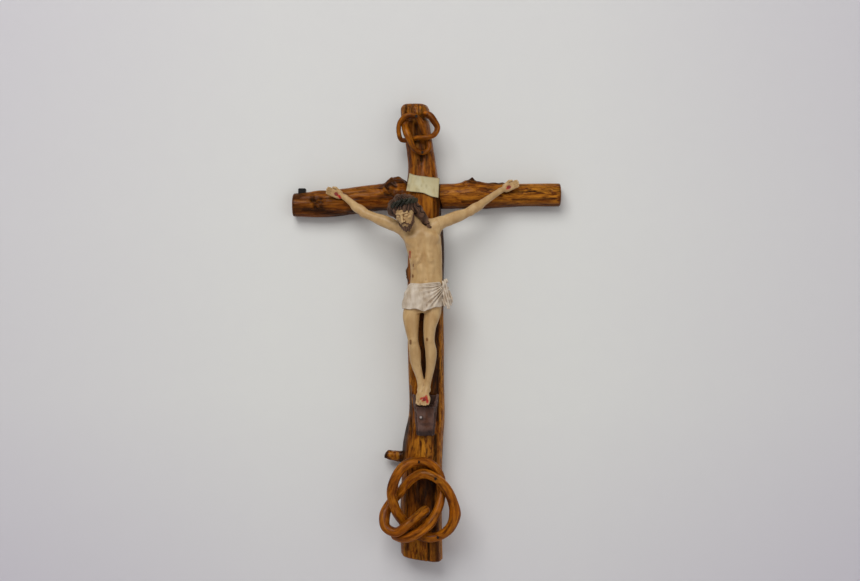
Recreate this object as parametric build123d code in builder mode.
"""Wall crucifix of two branches with a cast figure and two twisted vine knots.

Millimetres. The origin is the middle of the crossing on the wall plane. X runs to the
viewer's right, Y into the wall and Z up, so the whole object lies at negative Y.
"""
import os
from math import cos, pi, radians, sin, sqrt

from build123d import *

os.makedirs("parts", exist_ok=True)

# Branches
UPRIGHT_ABOVE = 72.0
UPRIGHT_BELOW = 288.0
UPRIGHT_WIDTH = 30.0
UPRIGHT_DEPTH = 26.0
BEAM_LEFT = 104.0
BEAM_RIGHT = 108.0
BEAM_HEIGHT = 18.0
BEAM_DEPTH = 17.0
END_CHAMFER = 1.2
TWIG_RADIUS = 3.6
TWIG_LENGTH = 30.0
BURR_RADIUS = 4.0
BURR_LENGTH = 3.2

# Halved joint at the crossing
LAP_CLEARANCE = 0.1
LAP_SIDE_CLEARANCE = 0.4
LAP_SCREW_PITCH = 14.0
LAP_SCREW_LENGTH = 18.0
LAP_SCREW_SHANK = 1.6
LAP_SCREW_HEAD = 3.2
LAP_SCREW_SINK = 0.6

# Strap hanger in its pocket behind the upright
POCKET_FOOT = 20.0
POCKET_DEPTH = 6.2
POCKET_SIDE_GAP = 1.4
POCKET_TOP_GAP = 3.0
POCKET_CORNER = 2.0
HANGER_SHIFT = -3.4
STRAP_MARGIN = 2.0
STRAP_LENGTH = 14.0
STRAP_WIDTH = 9.0
STRAP_THICK = 1.0
CURL_WIDTH = 5.0
RING_WIRE = 0.8
RING_CORNER = 1.6
RING_LEG = 4.2
RING_SIDE_GAP = 0.15
RING_SPLIT = 0.4
RING_LEAN = 4.0
HINGE_CLEARANCE = 0.05
HANGER_SCREW_LENGTH = 8.0
HANGER_SCREW_SHANK = 1.0
HANGER_SCREW_HEAD = 1.9
HANGER_SCREW_PITCH = 5.6

# Scroll plate
TITULUS_WIDTH = 26.0
TITULUS_HEIGHT = 19.3
TITULUS_THICK = 1.8
TITULUS_RISE = 7.0
TITULUS_SHIFT = -1.0
SEAT_CUT = 1.0

# Cast figure
FIGURE_HEIGHT = 162.5
FIGURE_TOP = -1.2
HAND_GAP = 0.4
CLOTH_THICK = 1.2
CLOTH_GAP = 0.5
DOWEL_RADIUS = 1.2
DOWEL_LENGTH = 9.0
NAIL_SHANK = 0.7
NAIL_HEAD = 1.25
NAIL_HEAD_HEIGHT = 0.9
NAIL_GRIP = 8.0
NAIL_SEAT = 0.3

# Footrest
FOOTREST_WIDTH = 17.6
FOOTREST_HEIGHT = 31.6
FOOTREST_PLATE = 3.0
FOOTREST_BLOCK_WIDTH = 14.0
FOOTREST_BLOCK_DEPTH = 15.0
FOOTREST_TOE_DEPTH = 8.0
FOOTREST_SHIFT = 1.2
FOOTREST_GAP = 0.4
FOOTREST_SCREW_SHANK = 1.0
FOOTREST_SCREW_HEAD = 1.6
FOOTREST_SCREW_HEIGHT = 1.2
FOOTREST_SCREW_SEAT = 0.8

# Vine knots
TOP_VINE_RADIUS = 1.8
TOP_VINE_SPAN = 33.0
TOP_VINE_RISE = 48.3
TOP_VINE_SHIFT = -4.7
BOTTOM_VINE_RADIUS = 3.5
BOTTOM_VINE_SPAN = 59.0
BOTTOM_VINE_DROP_SHARE = 0.4836
BOTTOM_VINE_SHIFT = -3.4
VINE_GAP = 0.7
BRAD_SHANK = 0.55
BRAD_HEAD = 1.1
BRAD_HEAD_HEIGHT = 0.7
BRAD_SEAT = 0.5
BRAD_GRIP = 7.0

# Square iron stud on the left end
STUD_SIZE = 6.0
STUD_HEAD = 4.6
STUD_SHANK = 1.3
STUD_GRIP = 8.0
STUD_INSET = 7.3
STUD_SEAT_CUT = 0.8

PIN_CLEARANCE = 0.04
OVERRUN = 20.0

# Core of a branch, as a share of its depth from the planed back
CORE_SHARE = 0.42
TWIG_DROP_SHARE = 0.712
BURR_DROP_SHARE = 0.211
LAP_HEIGHT_SHARE = 0.94
LAP_DEPTH_SHARE = 0.53
LAP_RISE_SHARE = -0.03

# Along the upright: height, shift by width, width, depth
UPRIGHT_SHARES = (
    (-1.0, -0.053, 1.12, 1.08), (-0.944, -0.073, 1.133, 1.08), (-0.778, -0.05, 1.13, 1.08),
    (-0.697, -0.01, 1.077, 1.06), (-0.615, 0.063, 0.987, 1.02), (-0.451, 0.063, 0.987, 1.0),
    (-0.286, 0.043, 0.967, 0.98), (-0.122, 0.043, 0.967, 0.97), (0, -0.013, 0.917, 0.95),
    (0.333, -0.04, 0.763, 0.87), (0.664, -0.16, 0.733, 0.8), (1.0, -0.255, 0.67, 0.75),
)
# Along the crossbeam: run, rise by height, height, depth
BEAM_SHARES = (
    (-1.0, -0.42, 1.01, 0.96), (-0.75, -0.37, 1.18, 1.02), (-0.38, -0.09, 1.14, 1.0),
    (0, -0.03, 1.056, 1.0), (0.4, 0, 1.13, 1.02), (0.7, 0.039, 0.98, 0.96), (1.0, 0.039, 0.967, 0.94),
)
# Knots on its top: run, top by beam height, radius by beam height
BEAM_KNOT_SHARES = ((-0.207, 0.82, 0.24), (0.36, 0.74, 0.22))
# Scroll outline, by its width and height
TITULUS_TOP_SHARES = ((-0.41, 0.5), (-0.27, 0.41), (0.1, 0.355), (0.487, 0.286))
TITULUS_FOOT_SHARES = ((0.45, -0.5), (0.25, -0.47), (0.04, -0.3), (-0.23, -0.28), (-0.5, -0.24))

# Torso by figure height: drop, shift, forward, half width, half depth
TORSO_SHARES = (
    (0.1, -0.032, 0.074, 0.028, 0.027), (0.125, -0.026, 0.065, 0.0345, 0.032),
    (0.15, -0.021, 0.0585, 0.071, 0.042), (0.183, -0.016, 0.0566, 0.0874, 0.0505),
    (0.239, -0.005, 0.058, 0.086, 0.0548), (0.3, 0.005, 0.0566, 0.0775, 0.0505),
    (0.362, 0.0086, 0.0554, 0.0745, 0.0455), (0.436, 0.0037, 0.0554, 0.0788, 0.0468),
    (0.49, -0.001, 0.0565, 0.0795, 0.0455), (0.54, -0.003, 0.058, 0.075, 0.041),
)
# Parts of the figure by its height
HEAD_HEIGHT_SHARE = 0.1538
ARM_RADIUS_SHARE = 0.0332
THIGH_RADIUS_SHARE = 0.0357
HAND_WIDTH_SHARE = 0.0222
HAND_THICK_SHARE = 0.0117
# Shoulder seams and elbows by figure height: shift, forward, drop
RIGHT_SHOULDER_SHARES = (-0.1015, 0.053, 0.161)
LEFT_SHOULDER_SHARES = (0.0652, 0.053, 0.139)
RIGHT_ELBOW_SHARES = (-0.287, 0.02, 0.0837)
LEFT_ELBOW_SHARES = (0.22, 0.018, 0.079)
# Palms and finger tips on the beam: reach by figure height, rise by beam height
RIGHT_PALM_SHARES = (-0.424, 0.033)
RIGHT_TIP_SHARES = (-0.468, 0.117)
LEFT_PALM_SHARES = (0.41, 0.333)
LEFT_TIP_SHARES = (0.458, 0.556)
# Along an arm, by its radius: shoulder, upper arm, elbow, forearm
ARM_RADIUS_SHARES = (1.0, 0.86, 0.72, 0.74)
WRIST_SHARE = 0.5
# Legs by figure height: shift, forward, drop, then radius by thigh radius
RIGHT_LEG_SHARES = (
    (-0.05, 0.066, 0.51, 0.98), (-0.0535, 0.0735, 0.59, 0.97), (-0.0505, 0.094, 0.67, 0.84),
    (-0.04, 0.088, 0.75, 0.86), (-0.031, 0.073, 0.83, 0.74), (-0.02, 0.062, 0.91, 0.56),
    (-0.006, 0.078, 0.99, 0.5),
)
LEFT_LEG_SHARES = (
    (0.04, 0.068, 0.51, 0.97), (0.0365, 0.0745, 0.59, 0.95), (0.0295, 0.097, 0.67, 0.82),
    (0.0325, 0.09, 0.75, 0.86), (0.026, 0.08, 0.83, 0.74), (0.0165, 0.075, 0.91, 0.56),
    (0.006, 0.106, 0.99, 0.5),
)
# Head by its height: middle from the figure's top, axis, then ovals along the axis
HEAD_MIDDLE_SHARES = (-0.083, 0.1415, 0.082)
HEAD_AXIS = (-0.3, -0.38, 0.875)
HEAD_SHARES = (
    (-0.5, 0.06, 0.06), (-0.425, 0.14, 0.13), (-0.275, 0.25, 0.25), (-0.075, 0.33, 0.35),
    (0.15, 0.37, 0.4), (0.35, 0.3, 0.33), (0.475, 0.14, 0.15),
)
CROWN_PLACE_SHARE = 0.17
CROWN_RING_SHARE = 0.38
CROWN_TUBE_SHARE = 0.06
# Cloth wrap by figure height: drop, shift, forward, half width, half depth of its inside
CLOTH_FOOT_SHARES = (0.545, -0.005, 0.063, 0.0925, 0.054)
CLOTH_TOP_SHARE = 0.418
CLOTH_REACH_SHARE = 0.04
# Hanging tail by figure height: shift, forward, drop, half width, half depth
TAIL_SHARES = (
    (0.075, 0.06, 0.42, 0.02, 0.016), (0.1, 0.06, 0.414, 0.026, 0.02),
    (0.113, 0.062, 0.45, 0.018, 0.013), (0.122, 0.06, 0.5, 0.026, 0.012),
    (0.124, 0.058, 0.54, 0.03, 0.01),
)
# Foot nail: shift by figure height, rise on the plate above the block
FOOT_NAIL_SHARES = (0.002, 0.725)
FOOTREST_TAPER_SHARE = 0.86
FOOTREST_BLOCK_SHARE = 0.735
FOOTREST_SCREW_SHARES = (-0.19, 0.538)

# Vine routes by half span: across, up, then the layer of the strand
BOTTOM_ROUTE_SHARES = (
    (-0.73, -0.94, 0), (-0.4, -1.04, 0.75), (-0.02, -0.86, 1.1), (0.29, -0.57, 1.0),
    (0.51, -0.16, 0.6), (0.57, 0.24, 0), (0.52, 0.62, 0), (0.3, 0.9, 0.2), (-0.02, 1.0, 0.5),
    (-0.4, 0.88, 0.8), (-0.64, 0.55, 1.0), (-0.72, 0.18, 1.0), (-0.64, -0.2, 0.9),
    (-0.49, -0.5, 0.15), (-0.24, -0.79, 0), (0.1, -0.99, 0), (0.48, -0.98, 0.2),
    (0.78, -0.76, 0.4), (0.92, -0.42, 0.6), (0.86, -0.02, 0.8), (0.68, 0.34, 1.05),
    (0.42, 0.58, 0.9), (0.08, 0.68, 0.6), (-0.24, 0.5, 0.4), (-0.48, 0.2, 0),
    (-0.72, -0.08, -0.2), (-0.9, -0.4, 0.3), (-0.88, -0.7, 0.8), (-0.62, -0.82, 1.15),
    (-0.3, -0.62, 1.2), (0, -0.4, 0.6), (0.24, -0.24, 0),
)
TOP_ROUTE_SHARES = (
    (0.24, 0.98, 0), (0.58, 0.85, 0.3), (0.83, 0.55, 0.5), (0.95, 0.2, 0.6),
    (0.8, -0.14, 0.8), (0.42, -0.31, 1.0), (-0.04, -0.26, 0.5), (-0.44, -0.36, 0),
    (-0.78, -0.34, 0), (-0.95, 0, 0.3), (-0.86, 0.5, 0.6), (-0.46, 0.78, 1.05),
    (-0.08, 0.72, 1.0), (0.18, 0.36, 0.6), (0.31, -0.06, 0.1), (0.52, -0.5, 0),
    (0.5, -0.82, 0.3), (0.2, -0.96, 0.5), (-0.14, -0.8, 0.8), (-0.36, -0.42, 1.05),
    (-0.54, 0, 0.8), (-0.63, 0.36, 0.2), (-0.56, 0.62, 0),
)
BOTTOM_BRAD_STATIONS = (8, 16, 21)
TOP_BRAD_STATIONS = (12, 17)

SEAM_TURN = 50.0
OVAL_POINTS = 8
OVAL_PLACES = [step / OVAL_POINTS for step in range(OVAL_POINTS + 1)]
BASE = (Align.CENTER, Align.CENTER, Align.MIN)


def between(table, place):
    """Row of a table of shares at a place, straight between its rows."""
    for low, high in zip(table, table[1:]):
        if low[0] <= place <= high[0]:
            part = (place - low[0]) / (high[0] - low[0])
            return [a + (b - a) * part for a, b in zip(low, high)]
    return list(table[0] if place < table[0][0] else table[-1])


def upright_at(z):
    """Middle, half width and depth of the upright at a height."""
    _, shift, width, depth = between(UPRIGHT_SHARES, z / (UPRIGHT_ABOVE if z > 0 else UPRIGHT_BELOW))
    return shift * UPRIGHT_WIDTH, width * UPRIGHT_WIDTH / 2, depth * UPRIGHT_DEPTH


def beam_at(x):
    """Middle height, half height and depth of the crossbeam at a run."""
    _, rise, height, depth = between(BEAM_SHARES, x / (BEAM_RIGHT if x > 0 else BEAM_LEFT))
    return rise * BEAM_HEIGHT, height * BEAM_HEIGHT / 2, depth * BEAM_DEPTH


def oval(plane, half_width, half_depth):
    """Closed oval round the middle of a plane."""
    turns = [2 * pi * step / OVAL_POINTS for step in range(OVAL_POINTS)]
    with BuildSketch(plane) as section:
        with BuildLine():
            add(Edge.make_spline([Vector(half_width * cos(turn), half_depth * sin(turn)) for turn in turns],
                                 periodic=True, parameters=OVAL_PLACES))
        make_face()
    return section.sketch


def upright_section(z):
    """Cross-section of the upright at a height, still round at the back."""
    middle, half, depth = upright_at(z)
    plane = Plane(origin=(middle, -CORE_SHARE * depth, z), z_dir=(0, 0, 1))
    return oval(plane, half, (1 - CORE_SHARE) * depth)


def beam_section(x):
    """Cross-section of the crossbeam at a run, still round at the back."""
    middle, half, depth = beam_at(x)
    plane = Plane(origin=(x, -CORE_SHARE * depth, middle), x_dir=(0, 1, 0), z_dir=(1, 0, 0))
    return oval(plane, (1 - CORE_SHARE) * depth, half)


def limb(points, radii, across):
    """Sections square to a limb's path; radii are pairs, the first along across."""
    places = [Vector(*point) for point in points]
    count = len(places)
    sections = []
    for index, place in enumerate(places):
        along = places[min(index + 1, count - 1)] - places[max(index - 1, 0)]
        plane = Plane(origin=place, x_dir=across, z_dir=along)
        sections.append(oval(plane, *radii[index]))
    return sections


def figure_point(shift, forward, drop):
    """Place on the figure, measured from its top and from the front of the upright."""
    return (shift * FIGURE_HEIGHT, -UPRIGHT_DEPTH - forward * FIGURE_HEIGHT,
            FIGURE_TOP - drop * FIGURE_HEIGHT)


def figure_oval(shift, forward, drop, half_width, half_depth, grow=0):
    """Level oval of the figure, grown by a wall."""
    plane = Plane(origin=figure_point(shift, forward, drop), z_dir=(0, 0, 1))
    return oval(plane, half_width * FIGURE_HEIGHT + grow, half_depth * FIGURE_HEIGHT + grow)


def palm_point(shares):
    """Place of a hand lying on the front of the crossbeam."""
    x = shares[0] * FIGURE_HEIGHT
    return x, -beam_at(x)[2] - hand_half_thick - HAND_GAP, shares[1] * BEAM_HEIGHT


def arm_sections(shoulder_shares, elbow_shares, palm_shares, tip_shares):
    """Sections of one arm from its shoulder seam to the finger tips."""
    shoulder = Vector(*figure_point(*shoulder_shares))
    elbow = Vector(*figure_point(*elbow_shares))
    palm = Vector(*palm_point(palm_shares))
    tip = Vector(*palm_point(tip_shares))
    tip = Vector(tip.X, palm.Y, tip.Z)
    wrist = palm + (elbow - palm) * (hand_half_width * 2 / (elbow - palm).length)
    points = (shoulder, (shoulder + elbow) / 2, elbow, (elbow * 2 + wrist) / 3, wrist, palm, tip)
    radii = [(arm_radius * share, arm_radius * share) for share in ARM_RADIUS_SHARES]
    radii.append((hand_half_thick, arm_radius * WRIST_SHARE))
    radii.append((hand_half_thick, hand_half_width))
    radii.append((hand_half_thick / 2, hand_half_width / 2))
    return limb(points, radii, (0, 1, 0))


def seam_plane(shoulder_shares, elbow_shares):
    """Plane of a shoulder seam, facing along the arm."""
    shoulder = Vector(*figure_point(*shoulder_shares))
    elbow = Vector(*figure_point(*elbow_shares))
    return Plane(origin=shoulder, x_dir=(0, 1, 0), z_dir=elbow - shoulder)


def bore(x, z, front, back, radius):
    """Round hole along Y."""
    with Locations(Plane(origin=(x, front, z), z_dir=(0, 1, 0))):
        Cylinder(radius + PIN_CLEARANCE, back - front, align=BASE, mode=Mode.SUBTRACT)


def nail(x, z, seat, tip, head, head_height, shank):
    """Nail along Y with its head in front of the seat."""
    with Locations(Plane(origin=(x, seat, z), z_dir=(0, 1, 0))):
        Cylinder(shank, tip - seat, align=BASE)
    with Locations(Plane(origin=(x, seat, z), z_dir=(0, -1, 0))):
        Cylinder(head, head_height, align=BASE)


def palm_bores(palm):
    """Nail hole through a palm, with a flat under the nail's head."""
    x, y, z = palm
    bore(x, z, -OVERRUN * 4, 0, NAIL_SHANK)
    bore(x, z, -OVERRUN * 4, y - hand_half_thick + NAIL_SEAT, NAIL_HEAD)


def biarc_path(points):
    """Pairs of arcs through the points, each meeting the next without a corner."""
    places = [Vector(*point) for point in points]
    last = len(places) - 1
    ways = []
    for index in range(last + 1):
        ways.append((places[min(index + 1, last)] - places[max(index - 1, 0)]).normalized())
    with BuildLine() as path:
        for start, end, leave, reach in zip(places, places[1:], ways, ways[1:]):
            chord = end - start
            both = leave + reach
            bend = 2 * (1 - leave.dot(reach))
            lead = chord.dot(both)
            if bend > 1e-9:
                arm = (sqrt(lead ** 2 + bend * chord.dot(chord)) - lead) / bend
            else:
                arm = chord.dot(chord) / (2 * lead)
            joint = (start + end + (leave - reach) * arm) / 2
            middle = (chord - both * arm).normalized()
            for here, there, way in ((start, joint, leave), (joint, end, middle)):
                if way.cross((there - here).normalized()).length > 1e-5:
                    TangentArc(here, there, tangent=way)
                else:
                    Line(here, there)
    return Wire(path.edges())


def vine_points(route, span, shift, rise, radius):
    """Places along a vine that lies on the front of the upright in layers."""
    seat = -upright_at(rise)[2] - VINE_GAP - radius
    lift = 2 * radius + VINE_GAP
    return [(shift + x * span / 2, seat - layer * lift, rise + z * span / 2) for x, z, layer in route]


def least_gap(path, radius):
    """Least clear distance between strands of one vine that are not neighbours along it."""
    length = path.length
    count = int(length / radius) * 4
    spots = [path @ (step / count) for step in range(count + 1)]
    apart = int(count * radius * 2 * pi / length)
    least = min((spots[i] - spots[j]).length
                for i in range(0, count, 2) for j in range(i + apart, count + 1, 2))
    return least - 2 * radius


head_height = FIGURE_HEIGHT * HEAD_HEIGHT_SHARE
arm_radius = FIGURE_HEIGHT * ARM_RADIUS_SHARE
thigh_radius = FIGURE_HEIGHT * THIGH_RADIUS_SHARE
hand_half_width = FIGURE_HEIGHT * HAND_WIDTH_SHARE
hand_half_thick = FIGURE_HEIGHT * HAND_THICK_SHARE

lap_height = BEAM_HEIGHT * LAP_HEIGHT_SHARE
lap_depth = BEAM_DEPTH * LAP_DEPTH_SHARE
lap_rise = BEAM_HEIGHT * LAP_RISE_SHARE
lap_edges = [upright_at(lap_rise + side * BEAM_HEIGHT * 3 / 4) for side in (-1, 0, 1)]
lap_half = max(abs(middle) + half for middle, half, depth in lap_edges) + LAP_SIDE_CLEARANCE
lap_screws_at = [(side * LAP_SCREW_PITCH / 2, lap_rise) for side in (-1, 1)]

curl_bore = RING_WIRE + HINGE_CLEARANCE
curl_outer = curl_bore + STRAP_THICK
ring_half = CURL_WIDTH / 2 + RING_SIDE_GAP + RING_CORNER
ring_height = RING_CORNER + RING_LEG + ring_half + RING_WIRE
pocket_width = 2 * (ring_half + RING_WIRE + POCKET_SIDE_GAP)
pocket_height = STRAP_MARGIN + STRAP_LENGTH + ring_height + POCKET_TOP_GAP
hinge_y = -POCKET_DEPTH + curl_outer
hinge_z = POCKET_FOOT + STRAP_MARGIN + STRAP_LENGTH
hanger_screw_low = POCKET_FOOT + STRAP_MARGIN + HANGER_SCREW_HEAD + STRAP_THICK
hanger_screws_at = [hanger_screw_low + step * HANGER_SCREW_PITCH for step in range(2)]

titulus_seat = SEAT_CUT - upright_at(TITULUS_RISE)[2]
block_top = FIGURE_TOP - FIGURE_HEIGHT - FOOTREST_GAP
footrest_top = block_top + FOOTREST_HEIGHT * (1 - FOOTREST_BLOCK_SHARE)
footrest_middle = footrest_top - FOOTREST_HEIGHT / 2
footrest_seat = SEAT_CUT - upright_at(footrest_middle)[2]
footrest_screw_x = FOOTREST_SHIFT + FOOTREST_SCREW_SHARES[0] * FOOTREST_WIDTH
footrest_screw_z = footrest_top - FOOTREST_SCREW_SHARES[1] * FOOTREST_HEIGHT
block_slope = (FOOTREST_BLOCK_DEPTH - FOOTREST_TOE_DEPTH) / (FOOTREST_HEIGHT * FOOTREST_BLOCK_SHARE)
footrest_face = footrest_seat - FOOTREST_BLOCK_DEPTH + (block_top - footrest_screw_z) * block_slope
footrest_foot = footrest_top - FOOTREST_HEIGHT
bottom_vine_rise = footrest_foot - BOTTOM_VINE_DROP_SHARE * (UPRIGHT_BELOW + footrest_foot)
foot_nail_x = FOOT_NAIL_SHARES[0] * FIGURE_HEIGHT
foot_nail_z = block_top + FOOT_NAIL_SHARES[1] * (footrest_top - block_top)
foot_nail_seat = figure_point(*LEFT_LEG_SHARES[-1][:3])[1] - thigh_radius * LEFT_LEG_SHARES[-1][3] / 2

palms = [palm_point(RIGHT_PALM_SHARES), palm_point(LEFT_PALM_SHARES)]
stud_x = STUD_INSET - BEAM_LEFT
stud_middle, stud_half, stud_depth = beam_at(stud_x)
stud_y = -CORE_SHARE * stud_depth
stud_seat = stud_middle + stud_half - STUD_SEAT_CUT

bottom_points = vine_points(BOTTOM_ROUTE_SHARES, BOTTOM_VINE_SPAN, BOTTOM_VINE_SHIFT,
                            bottom_vine_rise, BOTTOM_VINE_RADIUS)
top_points = vine_points(TOP_ROUTE_SHARES, TOP_VINE_SPAN, TOP_VINE_SHIFT,
                         TOP_VINE_RISE, TOP_VINE_RADIUS)
bottom_brads_at = [bottom_points[station] for station in BOTTOM_BRAD_STATIONS]
top_brads_at = [top_points[station] for station in TOP_BRAD_STATIONS]
right_seam = seam_plane(RIGHT_SHOULDER_SHARES, RIGHT_ELBOW_SHARES)
left_seam = seam_plane(LEFT_SHOULDER_SHARES, LEFT_ELBOW_SHARES)
neck_seam = figure_point(*(TORSO_SHARES[0][index] for index in (1, 2, 0)))


with BuildPart() as upright:
    stations = [row[0] * (UPRIGHT_ABOVE if row[0] > 0 else UPRIGHT_BELOW) for row in UPRIGHT_SHARES]
    loft([upright_section(z) for z in stations])
    chamfer(upright.faces().sort_by(Axis.Z)[-1].edges(), END_CHAMFER)
    # Cut end of a side twig, and a burr on the same edge
    twig_z = -UPRIGHT_BELOW * TWIG_DROP_SHARE
    twig_y = -TWIG_RADIUS * 2
    with Locations(Plane(origin=(0, twig_y, twig_z), z_dir=(-1, 0, 0))):
        Cylinder(TWIG_RADIUS, TWIG_LENGTH, align=BASE)
    burr_z = -UPRIGHT_BELOW * BURR_DROP_SHARE
    burr_tip = upright_at(burr_z)[1] - upright_at(burr_z)[0] + BURR_LENGTH
    with Locations(Plane(origin=(0, -CORE_SHARE * UPRIGHT_DEPTH, burr_z), z_dir=(-1, 0, 0))):
        Cone(BURR_RADIUS * 2, BURR_RADIUS, burr_tip, align=BASE)
    split(bisect_by=Plane.XZ, keep=Keep.TOP)
    # Halving for the crossbeam
    with Locations((0, (OVERRUN - lap_depth) / 2, lap_rise)):
        Box(lap_half * 3, OVERRUN + lap_depth, lap_height + 2 * LAP_CLEARANCE, mode=Mode.SUBTRACT)
    for x, z in lap_screws_at:
        bore(x, z, -LAP_SCREW_SINK - LAP_SCREW_LENGTH, 0, LAP_SCREW_SHANK)
    # Pocket for the hanger
    with BuildSketch(Plane(origin=(HANGER_SHIFT, 0, POCKET_FOOT + pocket_height / 2),
                           x_dir=(1, 0, 0), z_dir=(0, -1, 0))):
        RectangleRounded(pocket_width, pocket_height, POCKET_CORNER)
    extrude(amount=POCKET_DEPTH, mode=Mode.SUBTRACT)
    for z in hanger_screws_at:
        bore(HANGER_SHIFT, z, STRAP_THICK - POCKET_DEPTH - HANGER_SCREW_LENGTH, 0, HANGER_SCREW_SHANK)
    # Flats under the scroll and the footrest
    with Locations((0, titulus_seat - OVERRUN / 2, TITULUS_RISE)):
        Box(UPRIGHT_WIDTH * 2, OVERRUN, TITULUS_HEIGHT, mode=Mode.SUBTRACT)
    with Locations((0, footrest_seat - OVERRUN / 2, footrest_middle)):
        Box(UPRIGHT_WIDTH * 2, OVERRUN, FOOTREST_HEIGHT, mode=Mode.SUBTRACT)
    bore(footrest_screw_x, footrest_screw_z, -OVERRUN * 3, footrest_seat + NAIL_GRIP, FOOTREST_SCREW_SHANK)
    bore(foot_nail_x, foot_nail_z, -OVERRUN * 3, footrest_seat + NAIL_GRIP, NAIL_SHANK)
    for x, y, z in bottom_brads_at + top_brads_at:
        bore(x, z, y - OVERRUN, BRAD_GRIP - upright_at(z)[2], BRAD_SHANK)
upright.part.label = "upright"
export_step(upright.part, "parts/upright.step")

with BuildPart() as crossbeam:
    stations = [row[0] * (BEAM_RIGHT if row[0] > 0 else BEAM_LEFT) for row in BEAM_SHARES]
    loft([beam_section(x) for x in stations])
    for run, rise, radius in BEAM_KNOT_SHARES:
        knot_x = run * (BEAM_RIGHT if run > 0 else BEAM_LEFT)
        with Locations((knot_x, -CORE_SHARE * BEAM_DEPTH, 0)):
            Cone(radius * BEAM_HEIGHT * 2, radius * BEAM_HEIGHT, rise * BEAM_HEIGHT, align=BASE)
    split(bisect_by=Plane.XZ, keep=Keep.TOP)
    # Halving for the upright, and flats above and below it
    with Locations((0, -lap_depth - OVERRUN / 2, lap_rise)):
        Box(2 * lap_half, OVERRUN, BEAM_HEIGHT * 3, mode=Mode.SUBTRACT)
    for side in (-1, 1):
        with Locations((0, 0, lap_rise + side * (lap_height + OVERRUN) / 2)):
            Box(2 * lap_half, BEAM_DEPTH * 3, OVERRUN, mode=Mode.SUBTRACT)
    for x, z in lap_screws_at:
        bore(x, z, -BEAM_DEPTH * 2, 0, LAP_SCREW_SHANK)
        with Locations(Plane(origin=(x, -LAP_SCREW_SINK, z), z_dir=(0, -1, 0))):
            Cone(LAP_SCREW_HEAD + PIN_CLEARANCE, LAP_SCREW_SHANK + PIN_CLEARANCE,
                 LAP_SCREW_HEAD - LAP_SCREW_SHANK, align=BASE, mode=Mode.SUBTRACT)
        with Locations(Plane(origin=(x, -LAP_SCREW_SINK, z), z_dir=(0, 1, 0))):
            Cylinder(LAP_SCREW_HEAD + PIN_CLEARANCE, LAP_SCREW_SINK, align=BASE, mode=Mode.SUBTRACT)
    for x, y, z in palms:
        bore(x, z, y - OVERRUN, y + hand_half_thick + NAIL_GRIP, NAIL_SHANK)
    # Flat and hole for the iron stud
    with Locations((stud_x, stud_y, stud_seat + OVERRUN / 2)):
        Box(STUD_SIZE * sqrt(2), STUD_SIZE * sqrt(2), OVERRUN, mode=Mode.SUBTRACT)
    with Locations((stud_x, stud_y, stud_seat - STUD_GRIP)):
        Cylinder(STUD_SHANK + PIN_CLEARANCE, OVERRUN, align=BASE, mode=Mode.SUBTRACT)
crossbeam.part.label = "crossbeam"
export_step(crossbeam.part, "parts/crossbeam.step")

with BuildPart() as lap_screws:
    for x, z in lap_screws_at:
        with Locations(Plane(origin=(x, -LAP_SCREW_SINK, z), z_dir=(0, -1, 0))):
            Cone(LAP_SCREW_HEAD, LAP_SCREW_SHANK, LAP_SCREW_HEAD - LAP_SCREW_SHANK, align=BASE)
            Cylinder(LAP_SCREW_SHANK, LAP_SCREW_LENGTH, align=BASE)
            Box(LAP_SCREW_HEAD * 3, LAP_SCREW_SINK, LAP_SCREW_SINK * 2, mode=Mode.SUBTRACT)
lap_screws.part.label = "lap_screws"
export_step(lap_screws.part, "parts/lap_screws.step")

with BuildPart() as titulus:
    plate_plane = Plane(origin=(TITULUS_SHIFT, titulus_seat, TITULUS_RISE), x_dir=(1, 0, 0), z_dir=(0, -1, 0))
    top_edge = [(x * TITULUS_WIDTH, z * TITULUS_HEIGHT) for x, z in TITULUS_TOP_SHARES]
    foot_edge = [(x * TITULUS_WIDTH, z * TITULUS_HEIGHT) for x, z in TITULUS_FOOT_SHARES]
    with BuildSketch(plate_plane):
        with BuildLine():
            Spline(top_edge)
            Line(top_edge[-1], foot_edge[0])
            Spline(foot_edge)
            Line(foot_edge[-1], top_edge[0])
        make_face()
    extrude(amount=TITULUS_THICK)
titulus.part.label = "titulus"
export_step(titulus.part, "parts/titulus.step")

with BuildPart() as corpus_body:
    loft([figure_oval(row[1], row[2], row[0], row[3], row[4]) for row in TORSO_SHARES])
    for seam in (right_seam, left_seam):
        with Locations(seam.origin - seam.z_dir * (arm_radius / 2)):
            Sphere(arm_radius * sqrt(5) / 2)
        with Locations(seam):
            Box(arm_radius * 4, arm_radius * 4, OVERRUN, align=BASE, mode=Mode.SUBTRACT)
    for rows in (RIGHT_LEG_SHARES, LEFT_LEG_SHARES):
        radii = [(row[3] * thigh_radius, row[3] * thigh_radius) for row in rows]
        loft(limb([figure_point(*row[:3]) for row in rows], radii, (1, 0, 0)))
    for seam in (right_seam, left_seam):
        with Locations(seam):
            Cylinder(DOWEL_RADIUS + PIN_CLEARANCE, DOWEL_LENGTH, mode=Mode.SUBTRACT)
    with Locations(neck_seam):
        Cylinder(DOWEL_RADIUS + PIN_CLEARANCE, DOWEL_LENGTH, mode=Mode.SUBTRACT)
    bore(foot_nail_x, foot_nail_z, -OVERRUN * 4, 0, NAIL_SHANK)
    with Locations(Plane(origin=(foot_nail_x, foot_nail_seat, foot_nail_z), z_dir=(0, -1, 0))):
        Cylinder(NAIL_HEAD + PIN_CLEARANCE, OVERRUN, align=BASE, mode=Mode.SUBTRACT)
corpus_body.part.label = "corpus_body"
export_step(corpus_body.part, "parts/corpus_body.step")

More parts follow.
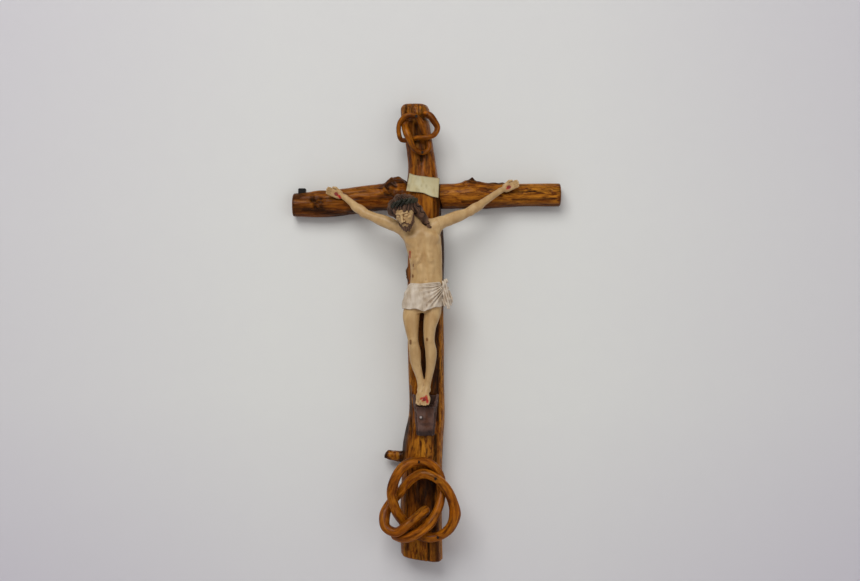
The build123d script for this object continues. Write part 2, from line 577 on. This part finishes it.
with BuildPart() as corpus_head:
    middle = Vector(*figure_point(*HEAD_MIDDLE_SHARES))
    axis = Vector(*HEAD_AXIS).normalized()
    skull = []
    for place, half_width, half_depth in HEAD_SHARES:
        plane = Plane(origin=middle + axis * (place * head_height), x_dir=(1, 0, 0), z_dir=axis)
        skull.append(oval(plane, half_width * head_height, half_depth * head_height))
    loft(skull)
    crown = Plane(origin=middle + axis * (CROWN_PLACE_SHARE * head_height), x_dir=(1, 0, 0), z_dir=axis)
    with Locations(crown):
        Torus(CROWN_RING_SHARE * head_height, CROWN_TUBE_SHARE * head_height)
    collar = TORSO_SHARES[0]
    inside = Plane(origin=(Vector(*neck_seam) + middle * 3) / 4, x_dir=(1, 0, 0), z_dir=axis)
    loft([figure_oval(collar[1], collar[2], collar[0], collar[3], collar[4]),
          oval(inside, collar[3] * FIGURE_HEIGHT, collar[4] * FIGURE_HEIGHT)])
    with Locations(neck_seam):
        Cylinder(DOWEL_RADIUS + PIN_CLEARANCE, DOWEL_LENGTH, mode=Mode.SUBTRACT)
corpus_head.part.label = "corpus_head"
export_step(corpus_head.part, "parts/corpus_head.step")

with BuildPart() as neck_dowel:
    with Locations(neck_seam):
        Cylinder(DOWEL_RADIUS, DOWEL_LENGTH)
neck_dowel.part.label = "neck_dowel"
export_step(neck_dowel.part, "parts/neck_dowel.step")

with BuildPart() as corpus_right_arm:
    loft(arm_sections(RIGHT_SHOULDER_SHARES, RIGHT_ELBOW_SHARES, RIGHT_PALM_SHARES, RIGHT_TIP_SHARES))
    palm_bores(palms[0])
    with Locations(right_seam):
        Cylinder(DOWEL_RADIUS + PIN_CLEARANCE, DOWEL_LENGTH, mode=Mode.SUBTRACT)
corpus_right_arm.part.label = "corpus_right_arm"
export_step(corpus_right_arm.part, "parts/corpus_right_arm.step")

with BuildPart() as corpus_left_arm:
    loft(arm_sections(LEFT_SHOULDER_SHARES, LEFT_ELBOW_SHARES, LEFT_PALM_SHARES, LEFT_TIP_SHARES))
    palm_bores(palms[1])
    with Locations(left_seam):
        Cylinder(DOWEL_RADIUS + PIN_CLEARANCE, DOWEL_LENGTH, mode=Mode.SUBTRACT)
corpus_left_arm.part.label = "corpus_left_arm"
export_step(corpus_left_arm.part, "parts/corpus_left_arm.step")

with BuildPart() as shoulder_dowels:
    for seam in (right_seam, left_seam):
        with Locations(seam):
            Cylinder(DOWEL_RADIUS, DOWEL_LENGTH)
shoulder_dowels.part.label = "shoulder_dowels"
export_step(shoulder_dowels.part, "parts/shoulder_dowels.step")

with BuildPart() as loincloth:
    waist = between(TORSO_SHARES, CLOTH_TOP_SHARE)
    hips = between(TORSO_SHARES, (CLOTH_TOP_SHARE + CLOTH_FOOT_SHARES[0]) / 2)
    rows = [waist, hips, CLOTH_FOOT_SHARES]
    loft([figure_oval(row[1], row[2], row[0], row[3], row[4], CLOTH_GAP + CLOTH_THICK) for row in rows])
    tail_points = [figure_point(*row[:3]) for row in TAIL_SHARES]
    tail_radii = [(row[4] * FIGURE_HEIGHT, row[3] * FIGURE_HEIGHT) for row in TAIL_SHARES]
    loft(limb(tail_points, tail_radii, (0, 1, 0)))
    inside = [between(TORSO_SHARES, CLOTH_TOP_SHARE - CLOTH_REACH_SHARE)] + rows
    inside.append([CLOTH_FOOT_SHARES[0] + CLOTH_REACH_SHARE, *CLOTH_FOOT_SHARES[1:]])
    loft([figure_oval(row[1], row[2], row[0], row[3], row[4], CLOTH_GAP) for row in inside],
         mode=Mode.SUBTRACT)
loincloth.part.label = "loincloth"
export_step(loincloth.part, "parts/loincloth.step")

with BuildPart() as hand_nails:
    for x, y, z in palms:
        nail(x, z, y - hand_half_thick + NAIL_SEAT, y + hand_half_thick + NAIL_GRIP,
             NAIL_HEAD, NAIL_HEAD_HEIGHT, NAIL_SHANK)
hand_nails.part.label = "hand_nails"
export_step(hand_nails.part, "parts/hand_nails.step")

with BuildPart() as foot_nail:
    nail(foot_nail_x, foot_nail_z, foot_nail_seat - PIN_CLEARANCE, footrest_seat + NAIL_GRIP,
         NAIL_HEAD, NAIL_HEAD_HEIGHT, NAIL_SHANK)
foot_nail.part.label = "foot_nail"
export_step(foot_nail.part, "parts/foot_nail.step")

with BuildPart() as footrest:
    plate = Plane(origin=(FOOTREST_SHIFT, footrest_seat, footrest_middle), x_dir=(1, 0, 0), z_dir=(0, -1, 0))
    half_top = FOOTREST_WIDTH / 2
    half_foot = half_top * FOOTREST_TAPER_SHARE
    half_height = FOOTREST_HEIGHT / 2
    with BuildSketch(plate):
        Polygon((-half_top, half_height), (half_top, half_height), (half_foot, -half_height),
                (-half_foot, -half_height), align=None)
    extrude(amount=FOOTREST_PLATE)
    foot = footrest_foot
    with BuildSketch(Plane(origin=(FOOTREST_SHIFT, 0, 0), x_dir=(0, 1, 0), z_dir=(1, 0, 0))):
        Polygon((footrest_seat, foot), (footrest_seat - FOOTREST_TOE_DEPTH, foot),
                (footrest_seat - FOOTREST_BLOCK_DEPTH, block_top), (footrest_seat, block_top), align=None)
    extrude(amount=FOOTREST_BLOCK_WIDTH / 2, both=True)
    bore(footrest_screw_x, footrest_screw_z, -OVERRUN * 4, 0, FOOTREST_SCREW_SHANK)
    with Locations(Plane(origin=(footrest_screw_x, footrest_face + FOOTREST_SCREW_SEAT, footrest_screw_z),
                         z_dir=(0, -1, 0))):
        Cylinder(FOOTREST_SCREW_HEAD + PIN_CLEARANCE, OVERRUN, align=BASE, mode=Mode.SUBTRACT)
    bore(foot_nail_x, foot_nail_z, -OVERRUN * 4, 0, NAIL_SHANK)
footrest.part.label = "footrest"
export_step(footrest.part, "parts/footrest.step")

with BuildPart() as footrest_screw:
    nail(footrest_screw_x, footrest_screw_z, footrest_face + FOOTREST_SCREW_SEAT, footrest_seat + NAIL_GRIP,
         FOOTREST_SCREW_HEAD, FOOTREST_SCREW_HEIGHT, FOOTREST_SCREW_SHANK)
footrest_screw.part.label = "footrest_screw"
export_step(footrest_screw.part, "parts/footrest_screw.step")


def vine_section(path, radius):
    """Round section at the start of a vine's path."""
    with BuildSketch(Plane((path ^ 0) * Rotation(0, 0, SEAM_TURN))) as section:
        Circle(radius)
    return section.sketch


bottom_path = biarc_path(bottom_points)
top_path = biarc_path(top_points)
print("bottom vine gap", round(least_gap(bottom_path, BOTTOM_VINE_RADIUS), 3))
print("top vine gap", round(least_gap(top_path, TOP_VINE_RADIUS), 3))

with BuildPart() as bottom_vine:
    sweep(vine_section(bottom_path, BOTTOM_VINE_RADIUS), path=bottom_path)
    for x, y, z in bottom_brads_at:
        bore(x, z, y - OVERRUN, y - BOTTOM_VINE_RADIUS + BRAD_SEAT, BRAD_HEAD)
        bore(x, z, y - OVERRUN, 0, BRAD_SHANK)
bottom_vine.part.label = "bottom_vine"
export_step(bottom_vine.part, "parts/bottom_vine.step")

with BuildPart() as bottom_vine_brads:
    for x, y, z in bottom_brads_at:
        nail(x, z, y - BOTTOM_VINE_RADIUS + BRAD_SEAT, BRAD_GRIP - upright_at(z)[2],
             BRAD_HEAD, BRAD_HEAD_HEIGHT, BRAD_SHANK)
bottom_vine_brads.part.label = "bottom_vine_brads"
export_step(bottom_vine_brads.part, "parts/bottom_vine_brads.step")

with BuildPart() as top_vine:
    sweep(vine_section(top_path, TOP_VINE_RADIUS), path=top_path)
    for x, y, z in top_brads_at:
        bore(x, z, y - OVERRUN, y - TOP_VINE_RADIUS + BRAD_SEAT, BRAD_HEAD)
        bore(x, z, y - OVERRUN, 0, BRAD_SHANK)
top_vine.part.label = "top_vine"
export_step(top_vine.part, "parts/top_vine.step")

with BuildPart() as top_vine_brads:
    for x, y, z in top_brads_at:
        nail(x, z, y - TOP_VINE_RADIUS + BRAD_SEAT, BRAD_GRIP - upright_at(z)[2],
             BRAD_HEAD, BRAD_HEAD_HEIGHT, BRAD_SHANK)
top_vine_brads.part.label = "top_vine_brads"
export_step(top_vine_brads.part, "parts/top_vine_brads.step")

with BuildPart() as square_stud:
    with Locations((stud_x, stud_y, stud_seat - STUD_GRIP)):
        Cylinder(STUD_SHANK, STUD_GRIP, align=BASE)
    with Locations((stud_x, stud_y, stud_seat)):
        Box(STUD_SIZE, STUD_SIZE, STUD_HEAD, align=BASE)
    chamfer(square_stud.faces().sort_by(Axis.Z)[-1].edges(), STUD_SHANK / 2)
square_stud.part.label = "square_stud"
export_step(square_stud.part, "parts/square_stud.step")

with BuildPart() as hanger_strap:
    profile = Plane(origin=(HANGER_SHIFT, 0, 0), x_dir=(0, 1, 0), z_dir=(1, 0, 0))
    with BuildSketch(Plane(origin=(HANGER_SHIFT, -POCKET_DEPTH, hinge_z - STRAP_LENGTH / 2),
                           x_dir=(1, 0, 0), z_dir=(0, -1, 0))):
        with Locations((0, -curl_outer)):
            RectangleRounded(STRAP_WIDTH, STRAP_LENGTH - 2 * curl_outer, POCKET_CORNER)
    extrude(amount=-STRAP_THICK)
    with BuildSketch(profile):
        with Locations((-POCKET_DEPTH + STRAP_THICK / 2, hinge_z - curl_outer * 2)):
            Rectangle(STRAP_THICK, curl_outer * 4)
        with Locations((hinge_y, hinge_z)):
            Circle(curl_outer)
            Circle(curl_bore, mode=Mode.SUBTRACT)
    extrude(amount=CURL_WIDTH / 2, both=True)
    for z in hanger_screws_at:
        bore(HANGER_SHIFT, z, -POCKET_DEPTH * 2, 0, HANGER_SCREW_SHANK)
hanger_strap.part.label = "hanger_strap"
export_step(hanger_strap.part, "parts/hanger_strap.step")

with BuildPart() as hanger_ring:
    lean = radians(RING_LEAN)
    ring_plane = Plane(origin=(HANGER_SHIFT, hinge_y, hinge_z), x_dir=(1, 0, 0),
                       z_dir=(0, -cos(lean), -sin(lean)))
    bar_end = ring_half - RING_CORNER
    bow_foot = RING_CORNER + RING_LEG
    nook = RING_CORNER * (1 - sqrt(2) / 2)
    with BuildLine(ring_plane) as ring_path:
        Line((RING_SPLIT / 2, 0), (bar_end, 0))
        ThreePointArc((bar_end, 0), (ring_half - nook, nook), (ring_half, RING_CORNER))
        Line((ring_half, RING_CORNER), (ring_half, bow_foot))
        ThreePointArc((ring_half, bow_foot), (0, bow_foot + ring_half), (-ring_half, bow_foot))
        Line((-ring_half, bow_foot), (-ring_half, RING_CORNER))
        ThreePointArc((-ring_half, RING_CORNER), (nook - ring_half, nook), (-bar_end, 0))
        Line((-bar_end, 0), (-RING_SPLIT / 2, 0))
    ring_wire = Wire(ring_path.edges())
    with BuildSketch(ring_wire ^ 0):
        Circle(RING_WIRE)
    sweep(path=ring_wire)
hanger_ring.part.label = "hanger_ring"
export_step(hanger_ring.part, "parts/hanger_ring.step")

with BuildPart() as hanger_screws:
    for z in hanger_screws_at:
        nail_seat = STRAP_THICK - POCKET_DEPTH
        with Locations(Plane(origin=(HANGER_SHIFT, nail_seat, z), z_dir=(0, -1, 0))):
            Cylinder(HANGER_SCREW_SHANK, HANGER_SCREW_LENGTH, align=BASE)
        with Locations(Plane(origin=(HANGER_SHIFT, nail_seat, z), z_dir=(0, 1, 0))):
            Cylinder(HANGER_SCREW_HEAD, HANGER_SCREW_SHANK, align=BASE)
        with Locations((HANGER_SHIFT, nail_seat + HANGER_SCREW_SHANK, z)):
            Box(HANGER_SCREW_HEAD * 3, HANGER_SCREW_SHANK, HANGER_SCREW_SHANK / 2, mode=Mode.SUBTRACT)
hanger_screws.part.label = "hanger_screws"
export_step(hanger_screws.part, "parts/hanger_screws.step")
